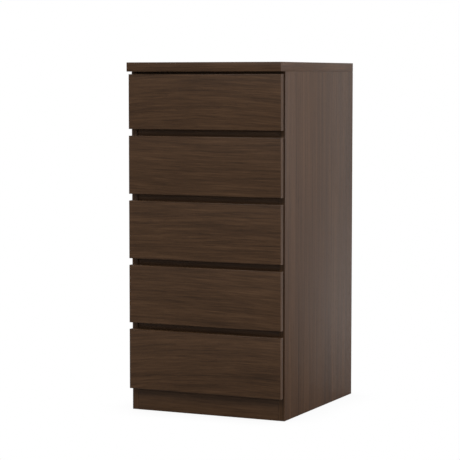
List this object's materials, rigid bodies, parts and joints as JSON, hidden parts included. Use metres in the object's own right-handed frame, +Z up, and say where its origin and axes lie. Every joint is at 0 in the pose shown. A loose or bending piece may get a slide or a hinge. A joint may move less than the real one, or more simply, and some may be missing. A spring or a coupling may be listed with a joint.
{
  "type": "chest of drawers",
  "caption": "Tall narrow chest of drawers in dark walnut finish, with handle-less full-overlay fronts, recessed rails that leave finger gaps, a plinth and side-mounted roller runners.",
  "frame": {"origin": "middle of the footprint, on the floor", "axes": "+Z up, the drawers open towards -Y, +X is on the right of someone who faces the drawers"},
  "size_m": [0.402, 0.456, 0.84],
  "materials": {
    "walnut_board": "satin",
    "hardboard": "matte",
    "drawer_wrap": "satin",
    "drawer_base": "satin",
    "runner_steel": "satin",
    "roller_nylon": "satin",
    "zinc_plate": "satin"
  },
  "bodies": {
    "carcass": {"top_board": "walnut_board", "side_panel_left": "walnut_board", "side_panel_right": "walnut_board", "back_panel": "hardboard", "bottom_panel": "walnut_board", "plinth_front": "walnut_board", "plinth_rear": "walnut_board", "top_rail_front": "walnut_board", "top_rail_rear": "walnut_board", "front_rail_1": "walnut_board", "front_rail_2": "walnut_board", "front_rail_3": "walnut_board", "front_rail_4": "walnut_board", "fixed_runner_1_left": "runner_steel", "fixed_runner_1_right": "runner_steel", "fixed_runner_2_left": "runner_steel", "fixed_runner_2_right": "runner_steel", "fixed_runner_3_left": "runner_steel", "fixed_runner_3_right": "runner_steel", "fixed_runner_4_left": "runner_steel", "fixed_runner_4_right": "runner_steel", "fixed_runner_5_left": "runner_steel", "fixed_runner_5_right": "runner_steel"},
    "drawer_1": {"drawer_1_front": "walnut_board", "drawer_1_side_left": "drawer_wrap", "drawer_1_side_right": "drawer_wrap", "drawer_1_back": "drawer_wrap", "drawer_1_bottom": "drawer_base", "drawer_1_runner_left": "runner_steel", "drawer_1_runner_right": "runner_steel"},
    "drawer_2": {"drawer_2_front": "walnut_board", "drawer_2_side_left": "drawer_wrap", "drawer_2_side_right": "drawer_wrap", "drawer_2_back": "drawer_wrap", "drawer_2_bottom": "drawer_base", "drawer_2_runner_left": "runner_steel", "drawer_2_runner_right": "runner_steel"},
    "drawer_3": {"drawer_3_front": "walnut_board", "drawer_3_side_left": "drawer_wrap", "drawer_3_side_right": "drawer_wrap", "drawer_3_back": "drawer_wrap", "drawer_3_bottom": "drawer_base", "drawer_3_runner_left": "runner_steel", "drawer_3_runner_right": "runner_steel"},
    "drawer_4": {"drawer_4_front": "walnut_board", "drawer_4_side_left": "drawer_wrap", "drawer_4_side_right": "drawer_wrap", "drawer_4_back": "drawer_wrap", "drawer_4_bottom": "drawer_base", "drawer_4_runner_left": "runner_steel", "drawer_4_runner_right": "runner_steel"},
    "drawer_5": {"drawer_5_front": "walnut_board", "drawer_5_side_left": "drawer_wrap", "drawer_5_side_right": "drawer_wrap", "drawer_5_back": "drawer_wrap", "drawer_5_bottom": "drawer_base", "drawer_5_runner_left": "runner_steel", "drawer_5_runner_right": "runner_steel"}
  },
  "joints": [
    {"name": "drawer_1_slide", "type": "slide", "parent": "carcass", "child": "drawer_1", "axis": [0, -1, 0], "range_m": [0, 0.3]},
    {"name": "drawer_2_slide", "type": "slide", "parent": "carcass", "child": "drawer_2", "axis": [0, -1, 0], "range_m": [0, 0.3]},
    {"name": "drawer_3_slide", "type": "slide", "parent": "carcass", "child": "drawer_3", "axis": [0, -1, 0], "range_m": [0, 0.3]},
    {"name": "drawer_4_slide", "type": "slide", "parent": "carcass", "child": "drawer_4", "axis": [0, -1, 0], "range_m": [0, 0.3]},
    {"name": "drawer_5_slide", "type": "slide", "parent": "carcass", "child": "drawer_5", "axis": [0, -1, 0], "range_m": [0, 0.3]}
  ]
}
